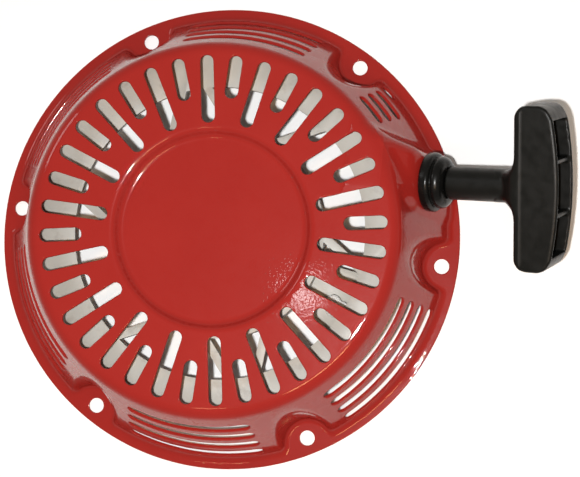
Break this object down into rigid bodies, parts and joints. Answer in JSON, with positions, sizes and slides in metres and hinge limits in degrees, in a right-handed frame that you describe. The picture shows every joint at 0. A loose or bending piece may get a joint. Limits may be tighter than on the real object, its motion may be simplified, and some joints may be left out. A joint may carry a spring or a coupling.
{
  "type": "recoil starter",
  "caption": "Pull-rope starter: round slotted sheet cover, rope reel, coiled recoil spring, swing-out pawls, and a T grip on a rope that leaves through a side outlet.",
  "frame": {"origin": "centre of the bolt circle, in the flange's mating face", "axes": "+Z out of the cover's slotted face, along the reel's axis; +X through one bolt hole, and the rope is pulled out towards +X; +Y to the side of the cover that the rope leaves from"},
  "size_m": [0.2782, 0.23, 0.0718],
  "materials": {
    "red_paint": "gloss powder coat with a faint orange peel on pressed steel sheet",
    "post_steel": "turned steel, lightly oiled",
    "bush_plastic": "black moulded nylon, worn smooth in the throat",
    "zinc_steel": "bright zinc plate",
    "reel_nylon": "natural moulded nylon, slightly translucent",
    "bronze": "sintered bronze, oiled",
    "spring_steel": "blued spring strip, greased",
    "rope_cord": "braided white polyester starter cord",
    "grip_plastic": "black moulded grip, satin with a fine grain",
    "pin_steel": "ground steel",
    "pawl_steel": "dark sintered steel",
    "wire_steel": "drawn spring wire",
    "guide_plastic": "black moulded nylon"
  },
  "bodies": {
    "case": {"starter_case": "red_paint", "centre_post": "post_steel", "rope_bush": "bush_plastic", "bush_retainer": "zinc_steel", "rope_run": "rope_cord", "friction_spring": "wire_steel", "thrust_washer": "zinc_steel", "set_screw": "zinc_steel"},
    "handle": {"grip": "grip_plastic", "grip_washer": "zinc_steel", "grip_knot": "rope_cord", "rope_pull": "rope_cord"},
    "reel": {"reel": "reel_nylon", "reel_bush": "bronze", "recoil_spring": "spring_steel", "rope_wound": "rope_cord", "reel_knot": "rope_cord", "pawl_pins": "pin_steel", "pawl_spring_a": "wire_steel", "pawl_spring_b": "wire_steel"},
    "guide": {"ratchet_guide": "guide_plastic"},
    "pawl_a": {"pawl_a": "pawl_steel"},
    "pawl_b": {"pawl_b": "pawl_steel"}
  },
  "joints": [
    {"name": "handle_pull", "type": "slide", "parent": "case", "child": "handle", "axis": [0.9265, 0.0356, 0.3746], "range_m": [0, 1.2], "stiffness_N_per_m": 25, "springref_m": -0.6},
    {"name": "reel_spin", "type": "hinge", "parent": "case", "child": "reel", "pos_m": [0, 0, 0.02], "axis": [0, 0, 1], "range_deg": [-812, 0], "deforming": ["recoil_spring"]},
    {"name": "guide_turn", "type": "hinge", "parent": "reel", "child": "guide", "pos_m": [0, 0, 0.007], "axis": [0, 0, 1], "range_deg": [0, 32], "stiffness_Nm_per_rad": 0.02},
    {"name": "pawl_a_swing", "type": "hinge", "parent": "reel", "child": "pawl_a", "pos_m": [0.024, 0, 0.0115], "axis": [0, 0, 1], "range_deg": [0, 32]},
    {"name": "pawl_b_swing", "type": "hinge", "parent": "reel", "child": "pawl_b", "pos_m": [-0.024, 0, 0.0115], "axis": [0, 0, 1], "range_deg": [0, 32]}
  ],
  "couplings": [
    {"joint": "reel_spin", "follows": "handle_pull", "rad_per_m": -11.806},
    {"joint": "pawl_a_swing", "follows": "guide_turn", "ratio": 1},
    {"joint": "pawl_b_swing", "follows": "guide_turn", "ratio": 1}
  ]
}
